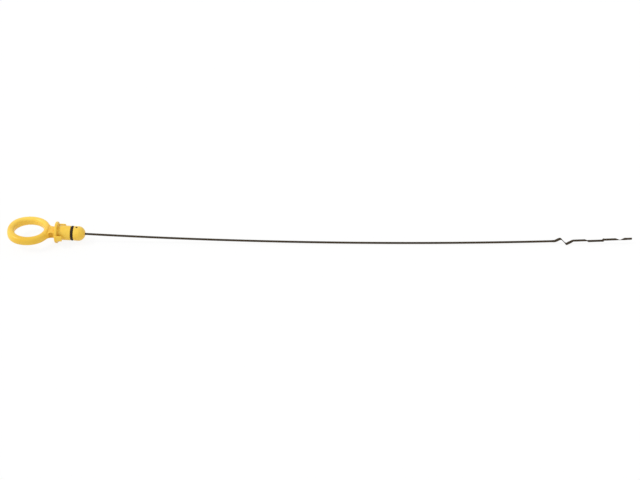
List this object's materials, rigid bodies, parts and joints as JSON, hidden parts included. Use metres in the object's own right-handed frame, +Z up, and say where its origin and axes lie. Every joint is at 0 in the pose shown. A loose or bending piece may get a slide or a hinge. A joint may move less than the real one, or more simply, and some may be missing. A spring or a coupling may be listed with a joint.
{
  "type": "engine oil dipstick",
  "caption": "Engine oil dipstick with a round pull handle and sealing plug, and a thin bowed wire with a pinched level gauge at its tip.",
  "frame": {"origin": "centre of the seat, on the plug's axis in the plane of the flange's tip side, where the dipstick's length is counted from", "axes": "+X along the dipstick from the ring to the tip, +Z up as the dipstick lies at rest; the plug's own axis dips by 3.0 degrees towards the tip"},
  "size_m": [0.6242, 0.0426, 0.0215],
  "materials": {
    "handle_plastic": "satin",
    "seal_rubber": "satin",
    "wire_steel": "dark oiled"
  },
  "bodies": {
    "root": {"handle": "handle_plastic", "o_ring": "seal_rubber", "wire": "wire_steel"}
  },
  "joints": []
}
